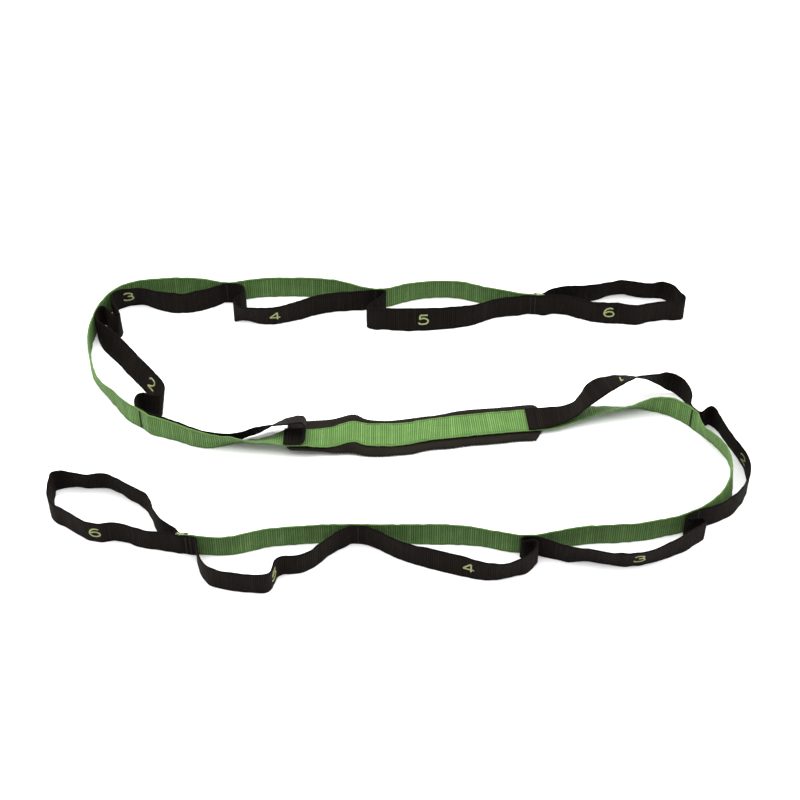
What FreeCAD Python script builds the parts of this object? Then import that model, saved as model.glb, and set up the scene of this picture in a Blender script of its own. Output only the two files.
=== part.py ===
import FreeCAD, Part
import math, os

# A multi-loop stretching strap lying on a flat surface, all sizes in mm, +Z up.
# One green base webbing runs from end to end, through a flat pad in the middle.  On each half a
# black webbing is sewn to it at regular tacks with slack between them, which makes the loops 1 to
# 6, counted outward from the pad.  Away from the pad the webbing stands on its edge.
WEB_W = 25.4          # webbing width, 1 inch
WEB_T = 1.4           # webbing thickness, both colours
PAD_W = 40.0          # pad width
PAD_T = 5.0           # pad thickness
GAP = 0.8             # each side's clearance from a tack's hinge line
ZONE = 3.0            # straight stretch beside a hinge line, where the two webbings touch
TACK_IN = 2.0         # distance of a stitched bar from its hinge line
BAR_W, BAR_T, BAR_H = 1.2, 0.4, 21.0      # stitched bar: along the strap, thickness, height
DIGIT_W, DIGIT_H = 11.4, 11.4             # embroidered number
STROKE, RELIEF = 1.5, 0.3                 # its satin stroke width and height
SEW_W, SEW_T = 0.9, 0.35                  # edge stitching along the pad

# Tack hinge lines: x, y and the outward direction of the strap in degrees.
TACKS = {
    "l12": (-228.7, 9.2, 147), "l23": (-277, 125, 76), "l34": (-157, 161, 0),
    "l45": (-20, 153, 0), "l56": (122, 146, -5),
    "r12": (257, 7.6, -50), "r23": (248, -101.5, 205), "r34": (108, -128, 180),
    "r45": (-37, -117, 180), "r56": (-176, -128, 172),
}

# Routes of the webbing's centre line, from the pad outward.  A station is x, y, the sideways
# offset of the upper edge over the lower edge in x and y, and the height of the lower edge.
GREEN = {
    "l2": [(-240, 17), (-252, 31, -1, -2), (-262, 42, -4, -3), (-270, 54, -3, -1), (-275, 66),
           (-278.5, 79), (-280.5, 93), (-280.5, 106), (-279, 116)],
    "l3": [(-273, 136), (-265, 149), (-256, 157), (-239, 163.5), (-221, 166), (-202, 167),
           (-184, 166), (-170, 163)],
    "l4": [(-145, 163), (-132, 165.5), (-102, 167), (-80, 166.5), (-62, 164.5), (-45, 159.5),
           (-31, 154.5)],
    "l5": [(-9, 154.5), (2, 158.5, 0, -1), (18, 162.5, 0, -2), (38, 164.3, 0, -3),
           (56, 163, 0, -2), (74, 157.5, 0, -2), (92, 152), (108, 148)],
    "r2": [(262, 0, -3, -2.5), (266.5, -8, -6, -4.5), (272.5, -14.5, -6, -4),
           (278, -22, -5.5, -3), (282.7, -30.5, -5, -2), (284.7, -40, -4, 0), (285, -51, -3, 0),
           (283.4, -62.4, -3, 1.5), (279.2, -76, -5, 3), (273.6, -85, -5, 4), (266.4, -91.4, -3.5, 3),
           (258.4, -96, -1, 1)],
    "r3": [(238, -106.5), (222, -111), (202, -115.5), (180, -117.5), (160, -118.5),
           (143, -121), (126, -125)],
    "r4": [(96, -127.5), (82, -124.5), (64, -120.5), (44, -118.5, 0, 2), (18, -118, 0, 2),
           (-10, -117.3)],
    "r5": [(-54, -117), (-72, -118), (-96, -120), (-112, -122), (-126, -126, 0, 1),
           (-142, -130), (-156, -130.5)],
}
# The middle length: from tack l12 over the pad to tack r12.
GREEN_MID = [
    (-219, 1.5, 0, 1), (-208, -2.5), (-192, -8.5, 0, -1), (-182, -13, 0, -2),
    (-173, -15.7, 0, -3), (-164, -17.3, 0, -5), (-155, -16.8, 0, -9), (-144, -15.3, 0, -12.7),
    (-136, -15, 0, -15.6), (-124, -14.6, 0, -18.4, 0.5), (-111, -14, 0, -21, 3.6),
    (-99, -13.4, 0, -24.3, 8.3), (-83, -13.6, 0, -24.3, 8.3), (-65, -11, 0, -25, 6.7),
    (-45, -5, 0, -25.4, 5), (-26, -4.5, 0, -25.4, 5), (0, -4, 0, -25.4, 5),
    (26, 1, -2, -25.3, 5), (53, 5, 2, -25.3, 5), (75, 7.8, 3, -25.2, 5),
    (98, 10.3, 3, -25.2, 5), (116, 12, 2, -25.3, 5), (125, 13, 2, -25.3, 4.6),
    (139, 14.8, 1, -25, 2.6), (148, 17, 0, -24.4, 1.2), (158, 19.3, 0, -23.4, 0.4),
    (169, 21.2, 0, -21.8), (180, 22.3, 0, -19.8), (192, 22.8, 0, -17.6), (203, 23.6, 0, -15.2),
    (213, 24.6, 0, -11), (222, 24.8, 0, -6), (231, 23.7, 0, -3), (240, 21), (248, 15.8)]
PAD = [
    (-99, -6.5, 0, -39, 0), (-83, -6.5, 0, -39, 0), (-65, -5, 0, -39.7, 0),
    (-45, -4, 0, -40, 0), (-26, -5.5, 0, -40, 0), (0, -5, -1, -40, 0), (26, 0, -7, -39.4, 0),
    (53, 5, 4, -39.8, 0), (75, 7.5, 4, -39.8, 0), (98, 10.5, 4, -39.8, 0), (124, 12.5, 4, -39.8, 0)]

BLACK = {
    "l1": [(-101, -13.4, 0, -24.3, 10), (-95, -13.5, 0, -24.3, 10), (-90, -13.5, 0, -24.3, 10),
           (-86.5, -13.5, 0, -24.3, 10.2), (-83.7, -13.2, 0, -24, 11.4),
           (-82.4, -12.2, 0, -22.9, 14.2), (-82, -10.8, 0, -21.7, 17.6),
           (-82.3, -9.2, 0, -20.9, 20.6), (-84.1, -7.7, 0, -20.5, 21.7),
           (-88, -6, 0, -20.5, 20.3), (-96, -3.4, 0, -20.6, 15.4), (-105, -1, 0, -18.9, 8.4),
           (-114, -2, 0, -15.3, 4), (-123, -5, 0, -12.7, 2), (-133, -8.6, 0, -11.7, 1),
           (-142, -12, 0, -10.6), (-152, -14.4, 0, -8.4), (-164, -15, 0, -5),
           (-173, -13.5, 0, -3), (-183, -10.2, 0, -2), (-192, -6, 0, -1), (-208, 0), (-219, 4.2)],
    "l2": [(-232, 15.5), (-232.4, 20.5), (-230.6, 25.5), (-226.8, 27.2), (-222, 25.2, 0, 2),
           (-217, 22.4, 1, 5), (-211.5, 22.8, 2, 8), (-209.2, 27.8, 3, 9), (-211.5, 35.5, 6, 8),
           (-220.5, 48.5, 7, 6), (-240, 72.5, 7, 6), (-254, 90, 7, 6), (-265.5, 102, 6, 5),
           (-272, 110, 3, 2), (-275.6, 116.5)],
    "l3": [(-272.2, 131.2), (-269.6, 131.2), (-266.6, 127.4, 1, 2), (-258.6, 117, 2, 3),
           (-255, 116.2, 1, 2), (-254, 119.4), (-257.5, 128.5), (-262, 137.5), (-264, 143.5),
           (-261.5, 148.8), (-255.5, 152.2, 0, -1), (-248, 154, 0, -3), (-238, 155, 0, -3),
           (-224, 150.2, 0, -1), (-210, 147, 0, 1), (-199, 146.2, 0, 0.5),
           (-185, 149.5, 0, 1.5), (-174, 153.1, 0, 1), (-167, 156.6)],
    "l4": [(-148, 158.4), (-143.2, 155.5), (-142.2, 151.3), (-145.8, 145.5), (-151.6, 138.6),
           (-151.5, 135), (-147.5, 133.8, 0, -5), (-140, 133, 0, -7), (-130, 131, 0, -4),
           (-120, 130.4, 0, -3), (-109, 132, 0, -2), (-100, 135, 0, -2), (-91, 138), (-82, 142),
           (-73, 145), (-60, 147.6), (-46, 149), (-33, 150)],
    "l5": [(-14.3, 150.6), (-13.3, 148.2), (-15.6, 145), (-28.6, 131.6), (-30.2, 128.4),
           (-27, 126.8, 0, 1), (-14, 126.8, 0, 3), (2, 126, 0, 5), (19, 126.3, 0, 5),
           (37, 127.3, 0, 4), (55, 129.5, 0, 3), (65, 131.2, 0, 2), (74, 134.3), (84, 138.7),
           (95, 141.4), (109, 143)],
    "l6": [(131, 143.4), (138, 144.6), (148, 144.7), (157, 142.3), (167, 138.5),
           (176, 135.8, 0, 1), (187, 134.4, 0, 2), (202, 133.6, 0, 2), (215, 131.6, 0, 1),
           (229, 135), (244, 137.2), (254, 137.3), (259.5, 138.6), (260.6, 142), (256.8, 148.4),
           (250.5, 158), (242, 163, 0, -3), (230, 162.4, 0, -5), (217, 164.3, 0, -5),
           (206, 167, 0, -6), (195, 165.2, 0, -6), (183, 161, 0, -4), (166, 157.6, 0, -2),
           (151, 156), (138, 152)],
    "r1": [(111.5, 11.6, 3, -25.2, 6.4), (117, 12.1, 3, -25.2, 6.4), (125, 13, 2, -25.3, 6.4),
           (137, 14.7, 1, -25, 5.6), (147, 16.8, 0, -24.5, 6), (154.5, 18.3, 1, -23.8, 9.6),
           (161, 21, 4, -23.8, 17), (167.5, 24.5, 7, -23.6, 24), (175, 27.6, 8.5, -23.3, 29),
           (184, 32, 5.5, -23, 27.5), (196, 39.2, 1, -21.5, 22), (210, 45.8, 0, -16.3, 15),
           (220, 48, 0, -13.3, 11), (228.5, 48.5, 0, -9.5, 7.5), (237, 49.6, 0, -2.5, 3),
           (246, 47.5), (252, 40.5), (255.3, 32.5), (256, 24.5), (254.2, 18)],
    "r2": [(263, 5.4), (266, 7.8), (269.5, 11), (272.5, 12.2), (275, 10), (279, 3, -2, -1),
           (283, -7, -3, -2), (288, -18, -3, -2), (293, -28.5, -3, -2), (297.3, -39, -2, -1),
           (299, -49), (298.6, -58), (295.6, -68), (290, -78, 0, 0), (281.5, -87.5, -1, 1),
           (272.5, -93.8), (264.5, -97.6), (257.5, -99.9)],
    "r3": [(241.6, -107), (239.4, -109), (241.5, -111.2), (248, -110.6), (254.2, -110.7),
           (256, -113.2), (252.5, -116.4), (246, -121), (237, -127.4), (223, -135, 0, -3),
           (206, -142, 0, -5), (190, -144.5, 0, -5), (173, -143, 0, -6), (157, -139.6, 0, -6),
           (141, -138.8, 0, -3), (126, -134, 0, -1), (116.5, -130.8)],
    "r4": [(102, -130.2), (100.4, -132.2), (102.6, -134), (108, -133.4), (113.2, -133.9),
           (114.6, -136.6), (111.8, -142), (105.3, -149), (96, -153, 0, -3), (87, -156, 0, -3),
           (78, -156.8, 0, -2), (66, -155.4), (54, -151.7, 0, 2), (42, -148.3, 0, 2),
           (25, -143.2, 0, 2), (8, -138), (-6, -131.6), (-17, -124.8), (-27, -120)],
    "r5": [(-45, -120.8), (-52, -125), (-60, -131.3), (-67, -138), (-74, -144.3),
           (-82, -148.4), (-91, -149.8), (-98.5, -150.4), (-102, -152.8), (-104.6, -160),
           (-107, -166.2), (-110.6, -168.6), (-118, -168.9), (-135, -167.2), (-148, -164.7),
           (-157, -161.2), (-163.2, -154.8), (-167, -145.5), (-169, -137), (-169.2, -132.3)],
    "r6": [(-184, -128.9), (-190, -127.2), (-202, -125), (-211, -123.8), (-219, -121.6),
           (-229, -117.6), (-240, -115.2), (-252, -116.6), (-262, -114.6), (-274, -107.2),
           (-284, -100.4), (-292, -95.8), (-295.8, -91), (-297, -80, -3, 0), (-297, -67, -2, 0),
           (-296.2, -62, -1, 0), (-293.6, -60.6), (-282, -59.6, 0, -3.2), (-266, -61.7, 0, -5.4),
           (-253, -60.8, 0, -3.6), (-241, -66, 0, -4.2), (-230, -73.7, 0, -3),
           (-221, -79.4, 0, -2), (-214.6, -85), (-210.2, -93), (-206.4, -103),
           (-202, -109.4), (-195.8, -115), (-188.6, -120.4)],
}

# Embroidered numbers: loop, digit, place on the loop's route, which side of the route it is on
# (+1 is the right of the outward direction), and its height over the webbing's centre line.
NUMBERS = {
    "l1": (1, -190, -7, 1, 0), "l2": (2, -220.5, 48.6, -1, 0.5), "l3": (3, -250, 154, 1, 2),
    "l4": (4, -114.3, 131, 1, 0), "l5": (5, 21.5, 126, 1, 0), "l6": (6, 191.3, 134, 1, 1.4),
    "r1": (1, 194.5, 38, -1, 0), "r2": (2, 296.3, -37, 1, 0), "r3": (3, 198.5, -143.5, -1, 1.6),
    "r4": (4, 57, -152.5, -1, 0.9), "r5": (5, -104.6, -160, -1, 0.8),
    "r6": (6, -255.8, -116, -1, 0.5),
}
# Each digit as strokes in a unit box, x to the right and y up.
STROKES = {
    1: [(0.3, 0.8), (0.55, 1), (0.55, 0)],
    2: [(0.08, 0.78), (0.3, 1), (0.72, 1), (0.92, 0.75), (0.7, 0.48), (0.05, 0), (0.95, 0)],
    3: [(0.1, 0.88), (0.4, 1), (0.85, 0.92), (0.88, 0.66), (0.45, 0.54), (0.92, 0.4),
        (0.92, 0.12), (0.5, 0), (0.08, 0.12)],
    4: [(0.72, 0), (0.72, 1), (0.02, 0.28), (1, 0.28)],
    5: [(0.9, 1), (0.22, 1), (0.14, 0.55), (0.55, 0.66), (0.92, 0.5), (0.92, 0.15), (0.55, 0),
        (0.08, 0.1)],
    6: [(0.88, 0.9), (0.5, 1), (0.12, 0.75), (0.06, 0.3), (0.3, 0), (0.72, 0), (0.94, 0.28),
        (0.72, 0.56), (0.12, 0.5)],
}


def vec(x, y, z=0.0):
    return FreeCAD.Vector(x, y, z)


def tack(name):
    """The hinge point, the outward direction and the side on which the black webbing lies."""
    x, y, deg = TACKS[name]
    h = vec(math.cos(math.radians(deg)), math.sin(math.radians(deg)))
    side = vec(h.y, -h.x) if name[0] == "l" else vec(-h.y, h.x)
    return vec(x, y), h, side


def station(s, width=WEB_W, thick=WEB_T):
    """Centre point and full width vector of one station."""
    lx, ly = (s[2], s[3]) if len(s) > 3 else (0.0, 0.0)
    lift = s[4] if len(s) > 4 else 0.0
    lz = math.sqrt(max(width ** 2 - lx ** 2 - ly ** 2, 0.0))
    z = lift + lz / 2 + thick / 2 * math.sqrt(1 - (lz / width) ** 2)
    return vec(s[0], s[1], z), vec(lx, ly, lz)


def upright(p):
    return vec(p.x, p.y, WEB_W / 2), vec(0, 0, WEB_W)


def tangents(pts):
    """Tangents of a smooth path: the chord directions at each point, weighted by closeness."""
    out = []
    for i, p in enumerate(pts):
        a = p.sub(pts[i - 1]) if i else None
        b = pts[i + 1].sub(p) if i + 1 < len(pts) else None
        if a is None or b is None:
            out.append((b or a).normalize())
            continue
        t = a.multiply(1 / a.Length ** 2).add(b.multiply(1 / b.Length ** 2))
        out.append(t.normalize())
    return out


def smooth(stations, straight=(False, False)):
    """Cubic path through the stations; a straight first or last span stays straight."""
    pts = [s[0] for s in stations]
    tan = tangents(pts)
    if straight[0]:
        tan[0] = tan[1] = pts[1].sub(pts[0]).normalize()
    if straight[1]:
        tan[-1] = tan[-2] = pts[-1].sub(pts[-2]).normalize()
    out = [stations[0]]
    for i in range(len(pts) - 1):
        p, q, d = pts[i], pts[i + 1], pts[i + 1].sub(pts[i]).Length
        turn = math.degrees(tan[i].getAngle(tan[i + 1]))
        n = max(1, math.ceil(turn / 14), math.ceil(d / 14))
        for k in range(1, n + 1):
            u = k / n
            h = (2*u**3 - 3*u*u + 1, u**3 - 2*u*u + u, 3*u*u - 2*u**3, u**3 - u*u)
            c = p * h[0] + tan[i] * (d * h[1]) + q * h[2] + tan[i + 1] * (d * h[3])
            w = stations[i][1] * (1 - u) + stations[i + 1][1] * u
            out.append((c, w.normalize() * stations[i][1].Length))
    return out


def normals(path):
    out = []
    for i in range(len(path)):
        a, b = path[max(i - 1, 0)][0], path[min(i + 1, len(path) - 1)][0]
        if 0 < i < len(path) - 1:
            m = path[i][0]
            d1, d2 = m.sub(a), b.sub(m)
            t = d1.normalize().add(d2.normalize())
        else:
            t = b.sub(a)
        out.append(t.cross(path[i][1]).normalize())
    return out


def sections(path, thick):
    """The four corners of a strap's section at each station of its path, the first one again."""
    out = []
    for (c, w), n in zip(path, normals(path)):
        a, b = w * 0.5, n * (thick / 2)
        out.append([c - a - b, c + a - b, c + a + b, c - a + b, c - a - b])
    return out


def ribbon(path, thick=WEB_T):
    """Solid of a strap of this thickness about the path's centre surface."""
    return Part.makeLoft([Part.makePolygon(p) for p in sections(path, thick)], True, True)


def faceted(path, thick):
    """The same solid in flat facets, so that its level lengths are true planes."""
    rings = sections(path, thick)
    faces = [Part.Face(Part.makePolygon(ring)) for ring in (rings[0], rings[-1])]
    for p, q in zip(rings, rings[1:]):
        for k in range(4):
            for corners in ((p[k], p[k + 1], q[k + 1]), (p[k], q[k + 1], q[k])):
                faces.append(Part.Face(Part.makePolygon(list(corners) + [corners[0]])))
    return Part.Solid(Part.Shell(faces)).removeSplitter()


def between(name_in, route, name_out, offset):
    """Stations of a webbing from one tack's hinge line to the next."""
    out = []
    if name_in:
        p, h, side = tack(name_in)
        out += [upright(p + h * g + side * offset) for g in (GAP, ZONE)]
    out += [station(s) for s in route]
    if name_out:
        p, h, side = tack(name_out)
        out += [upright(p - h * g + side * offset) for g in (ZONE, GAP)]
    return out


def flatten(path, x, y, half):
    """Replace the stretch within half of the nearest point by a flat one; return its frame."""
    lengths = [0.0]
    for i in range(1, len(path)):
        lengths.append(lengths[-1] + path[i][0].sub(path[i - 1][0]).Length)
    best = None
    for i in range(1, len(path)):
        for k in range(11):
            c = path[i - 1][0] * (1 - k / 10) + path[i][0] * (k / 10)
            d = math.hypot(c.x - x, c.y - y)
            if best is None or d < best[0]:
                best = (d, lengths[i - 1] + (lengths[i] - lengths[i - 1]) * k / 10)

    def at(s):
        i = next(j for j in range(1, len(path)) if lengths[j] >= s or j == len(path) - 1)
        u = (s - lengths[i - 1]) / (lengths[i] - lengths[i - 1])
        c = path[i - 1][0] * (1 - u) + path[i][0] * u
        return c, (path[i - 1][1] * (1 - u) + path[i][1] * u).normalize() * WEB_W

    s0, s1 = best[1] - half, best[1] + half
    a, b = at(s0), at(s1)
    mid = (a[1] + b[1]).normalize() * WEB_W
    ends = [(a[0], mid), (b[0], mid)]
    before = [q for q, s in zip(path, lengths) if s < s0 - 1]
    after = [q for q, s in zip(path, lengths) if s > s1 + 1]
    along = b[0].sub(a[0]).normalize()
    return before + ends + after, ((a[0] + b[0]) * 0.5, along, mid * (1 / WEB_W))


def digit(value, centre, along, up, out):
    """Raised strokes of a number on the plane through centre, seen from the out side."""
    up = (up - along * up.dot(along)).normalize()
    right = up.cross(out).normalize()
    right = along * (1 if along.dot(right) > 0 else -1)
    out = right.cross(up)
    pts = [centre + right * ((x - 0.5) * (DIGIT_W - STROKE)) + up * ((y - 0.5) * (DIGIT_H - STROKE))
           + out * (WEB_T / 2) for x, y in STROKES[value]]
    solid = None
    for i, p in enumerate(pts):
        bits = [Part.makeCylinder(STROKE / 2, RELIEF, p, out)]
        if i:
            q = pts[i - 1]
            d = q.sub(p)
            e = d.cross(out).normalize() * (STROKE / 2)
            face = Part.Face(Part.makePolygon([p - e, p + e, q + e, q - e, p - e]))
            bits.append(face.extrude(out * RELIEF))
        for b in bits:
            solid = b if solid is None else solid.fuse(b)
    return solid.removeSplitter()


def bar(p, h, out):
    """One stitched bar lying against a face whose outward side is out."""
    base = p - h * (BAR_W / 2) + vec(0, 0, WEB_W / 2 - BAR_H / 2)
    c = [base, base + h * BAR_W, base + h * BAR_W + out * BAR_T, base + out * BAR_T]
    return Part.Face(Part.makePolygon(c + [c[0]])).extrude(vec(0, 0, BAR_H))


def export(name, *solids):
    shape = solids[0] if len(solids) == 1 else Part.makeCompound(list(solids))
    os.makedirs("parts", exist_ok=True)
    shape.exportStep("parts/" + name + ".step")
    print(name, "valid", shape.isValid(), "solids", len(shape.Solids), "volume", round(shape.Volume, 1))


# Green base webbing: the middle length over the pad, and one length per loop on each side.
PL, HL, _ = tack("l12")
PR, HR, _ = tack("r12")
mid = [upright(PL - HL * g) for g in (GAP, ZONE)] + [station(s) for s in GREEN_MID]
mid += [upright(PR - HR * g) for g in (ZONE, GAP)]
middle = smooth(mid, (True, True))
export("webbing_green_mid", ribbon(middle))
for side in "lr":
    for n in range(2, 6):
        route = between(f"{side}{n - 1}{n}", GREEN[f"{side}{n}"], f"{side}{n}{n + 1}", 0.0)
        export(f"webbing_green_{side}{n}", ribbon(smooth(route, (True, True))))
    # The green webbing's own end, sewn in between the two layers of the last loop.
    p, h, _ = tack(f"{side}56")
    export(f"webbing_green_end_{side}", ribbon([upright(p + h * GAP), upright(p + h * 6.0)]))

# Black webbing: one length per loop, and the raised number on each.
for key, route in BLACK.items():
    side, n = key[0], int(key[1])
    if n == 1:
        full = [station(s) for s in route] + between(None, [], f"{side}12", WEB_T)
        path = smooth(full, (False, True))
    elif n == 6:
        full = between(f"{side}56", route, None, WEB_T)
        p, h, s = tack(f"{side}56")
        full += [upright(p + h * g - s * WEB_T) for g in (ZONE + 4, GAP)]
        path = smooth(full, (True, True))
    else:
        full = between(f"{side}{n - 1}{n}", route, f"{side}{n}{n + 1}", WEB_T)
        path = smooth(full, (True, True))
    value, x, y, sign, rise = NUMBERS[key]
    path, (c, along, up) = flatten(path, x, y, DIGIT_W / 2 + 0.6)
    right_side = along.cross(up)
    export(f"webbing_black_{key}", ribbon(path))
    export(f"number_{key}", digit(value, c + up * rise, along, up, right_side * sign))

# Stitched bars: one on each outer face of the stack at every tack.
for name in TACKS:
    p, h, s = tack(name)
    q = p - h * TACK_IN
    export(f"tack_{name}", bar(q - s * (WEB_T / 2), h, s * -1), bar(q + s * (WEB_T * 1.5), h, s))
    if name[1:] == "56":
        q = p + h * TACK_IN
        export(f"tack_{name[0]}6", bar(q - s * (WEB_T * 1.5), h, s * -1),
               bar(q + s * (WEB_T * 1.5), h, s))

# Pad.  It lies flat but for its left end, whose near edge lifts.
export("pad", faceted(smooth([station(s, PAD_W, PAD_T) for s in PAD]), PAD_T))

# The sewing that holds the green webbing to the pad.
on_pad = [q for q in middle if -78 < q[0].x < 105]
n_up = normals(on_pad)
rows = []
for edge in (-1, 1):
    rise = WEB_T / 2 + SEW_T / 2 - 0.05
    rows.append(ribbon([(c + w * (edge * 0.44) + n * (-rise if n.z < 0 else rise),
                         w.normalize() * SEW_W) for (c, w), n in zip(on_pad, n_up)], SEW_T))
export("pad_stitching", *rows)
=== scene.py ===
import math
import bpy
import numpy as np
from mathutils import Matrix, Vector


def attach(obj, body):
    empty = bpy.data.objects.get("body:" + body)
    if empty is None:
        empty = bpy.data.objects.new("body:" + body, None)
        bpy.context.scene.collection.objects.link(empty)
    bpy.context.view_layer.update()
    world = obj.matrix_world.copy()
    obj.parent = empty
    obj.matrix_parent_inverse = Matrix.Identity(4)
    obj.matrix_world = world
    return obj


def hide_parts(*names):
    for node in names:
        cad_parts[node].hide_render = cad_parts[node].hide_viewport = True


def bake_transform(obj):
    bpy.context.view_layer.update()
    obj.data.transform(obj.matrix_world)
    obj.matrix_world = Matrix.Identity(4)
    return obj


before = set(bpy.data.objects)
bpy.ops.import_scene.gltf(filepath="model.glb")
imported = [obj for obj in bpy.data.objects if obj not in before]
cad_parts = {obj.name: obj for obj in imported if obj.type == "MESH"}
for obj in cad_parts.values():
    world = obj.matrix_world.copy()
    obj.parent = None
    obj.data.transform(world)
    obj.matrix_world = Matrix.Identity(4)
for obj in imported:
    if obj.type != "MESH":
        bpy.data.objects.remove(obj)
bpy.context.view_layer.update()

# ----------------------------------------------------------------------
# Sizes.  Lengths are in millimetres, as in the CAD, and new_piece() turns them into metres.
MM = 0.001
WEB_W, WEB_T = 25.4, 1.4          # webbing width and thickness
HALF_W = WEB_W / 2
PAD_W, PAD_T = 40.0, 5.0          # pad width and thickness
RIB_PITCH = 1.9                   # spacing of the ribs across the webbing
GREEN_RIB, BLACK_RIB = 0.22, 0.20  # how far a rib stands out
STEP = RIB_PITCH / 5              # spacing of a webbing's sections along its length
FINE = 0.2                        # spacing of the points that a route is first drawn with
SAME = 0.05                       # sections nearer to each other than this count as one
BEND_HALF = 3.0                   # half length of the short strip that bends at a tack
ZONE = 3.0                        # straight stretch beside a tack
END_LAP = 7.0, 0.4                # where loop 6 comes back to its tack, beyond the hinge line
TACK_IN = 2.0                     # distance of a stitched bar from its hinge line
FREE_END = 6.0                    # green webbing beyond its last hinge line
BAR_H = 22.5                      # height of a stitched bar
DIGIT_W, DIGIT_H = 11.4, 11.4     # embroidered numbers
STROKE, RELIEF = 1.5, 0.38        # their satin stroke's width and height
ROUND_END = 0.7                   # length of a stroke's round end
SATIN_PITCH, SATIN = 0.44, 0.045  # spacing and height of the threads in a stroke
SUNK = 0.15                       # how far a stroke's underside is in the webbing
RIDGE_X = -40                     # crest of the ridge in the pad, near its left end
RIDGE_LEFT, RIDGE_RIGHT = 14, 7.5  # how far the ridge runs out to each side
RIDGE_Y = -25, -18, -5, 8, 16     # places across the pad, from its near edge to its far edge
RIDGE = 1.0, 6.5, 4.8, 3.4, 5.8   # the ridge's height at those places
EDGE_SEAM = 11.2                  # the pad's sewing, from the green webbing's centre line
SEAM_X = -78, 105                 # where that sewing starts and ends
STITCH, STITCH_PITCH = 2.7, 3.3   # length and spacing of its stitches
TAB_STITCH, TAB_PITCH = 2.2, 2.8  # the same across a black tab
TAB_SEAM_IN = 3.0                 # that seam, from the tab's end
BAR_THREAD, SEAM_THREAD, TAB_THREAD = 0.3, 0.32, 0.3    # radius of each thread
CLEAR = 0.06                      # a bar's thread line over the webbing's face
SEAM_CLEAR, TAB_CLEAR = 0.02, 0.04    # the same for the two kinds of seam
FLOOR_Z, FLOOR_HALF = -0.0002, 4  # the table, in metres
TURN = 2 * math.pi

# Tack hinge lines: x, y and the outward direction of the strap in degrees.
TACKS = {
    "l12": (-228.7, 9.2, 147), "l23": (-277, 125, 76), "l34": (-157, 161, 0),
    "l45": (-20, 153, 0), "l56": (122, 146, -5),
    "r12": (257, 7.6, -50), "r23": (248, -101.5, 205), "r34": (108, -128, 180),
    "r45": (-37, -117, 180), "r56": (-176, -128, 172),
}

# Routes of the centre line, from the pad outward: x, y, the sideways offset of the upper edge
# over the lower edge in x and y, and the height of the lower edge.  They are the CAD's routes.
GREEN = {
    "l2": [(-240, 17), (-252, 31, -1, -2), (-262, 42, -4, -3), (-270, 54, -3, -1), (-275, 66),
           (-278.5, 79), (-280.5, 93), (-280.5, 106), (-279, 116)],
    "l3": [(-273, 136), (-265, 149), (-256, 157), (-239, 163.5), (-221, 166), (-202, 167),
           (-184, 166), (-170, 163)],
    "l4": [(-145, 163), (-132, 165.5), (-102, 167), (-80, 166.5), (-62, 164.5), (-45, 159.5),
           (-31, 154.5)],
    "l5": [(-9, 154.5), (2, 158.5, 0, -1), (18, 162.5, 0, -2), (38, 164.3, 0, -3),
           (56, 163, 0, -2), (74, 157.5, 0, -2), (92, 152), (108, 148)],
    "r2": [(262, 0, -3, -2.5), (266.5, -8, -6, -4.5), (272.5, -14.5, -6, -4),
           (278, -22, -5.5, -3), (282.7, -30.5, -5, -2), (284.7, -40, -4, 0), (285, -51, -3, 0),
           (283.4, -62.4, -3, 1.5), (279.2, -76, -5, 3), (273.6, -85, -5, 4), (266.4, -91.4, -3.5, 3),
           (258.4, -96, -1, 1)],
    "r3": [(238, -106.5), (222, -111), (202, -115.5), (180, -117.5), (160, -118.5),
           (143, -121), (126, -125)],
    "r4": [(96, -127.5), (82, -124.5), (64, -120.5), (44, -118.5, 0, 2), (18, -118, 0, 2),
           (-10, -117.3)],
    "r5": [(-54, -117), (-72, -118), (-96, -120), (-112, -122), (-126, -126, 0, 1),
           (-142, -130), (-156, -130.5)],
}
GREEN_MID = [
    (-219, 1.5, 0, 1), (-208, -2.5), (-192, -8.5, 0, -1), (-182, -13, 0, -2),
    (-173, -15.7, 0, -3), (-164, -17.3, 0, -5), (-155, -16.8, 0, -9), (-144, -15.3, 0, -12.7),
    (-136, -15, 0, -15.6), (-124, -14.6, 0, -18.4, 0.5), (-111, -14, 0, -21, 3.6),
    (-99, -13.4, 0, -24.3, 8.3), (-83, -13.6, 0, -24.3, 8.3), (-65, -11, 0, -25, 6.7),
    (-45, -5, 0, -25.4, 5), (-26, -4.5, 0, -25.4, 5), (0, -4, 0, -25.4, 5),
    (26, 1, -2, -25.3, 5), (53, 5, 2, -25.3, 5), (75, 7.8, 3, -25.2, 5),
    (98, 10.3, 3, -25.2, 5), (116, 12, 2, -25.3, 5), (125, 13, 2, -25.3, 4.6),
    (139, 14.8, 1, -25, 2.6), (148, 17, 0, -24.4, 1.2), (158, 19.3, 0, -23.4, 0.4),
    (169, 21.2, 0, -21.8), (180, 22.3, 0, -19.8), (192, 22.8, 0, -17.6), (203, 23.6, 0, -15.2),
    (213, 24.6, 0, -11), (222, 24.8, 0, -6), (231, 23.7, 0, -3), (240, 21), (248, 15.8)]
PAD = [
    (-99, -6.5, 0, -39, 0), (-83, -6.5, 0, -39, 0), (-65, -5, 0, -39.7, 0),
    (-45, -4, 0, -40, 0), (-26, -5.5, 0, -40, 0), (0, -5, -1, -40, 0), (26, 0, -7, -39.4, 0),
    (53, 5, 4, -39.8, 0), (75, 7.5, 4, -39.8, 0), (98, 10.5, 4, -39.8, 0), (124, 12.5, 4, -39.8, 0)]
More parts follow.
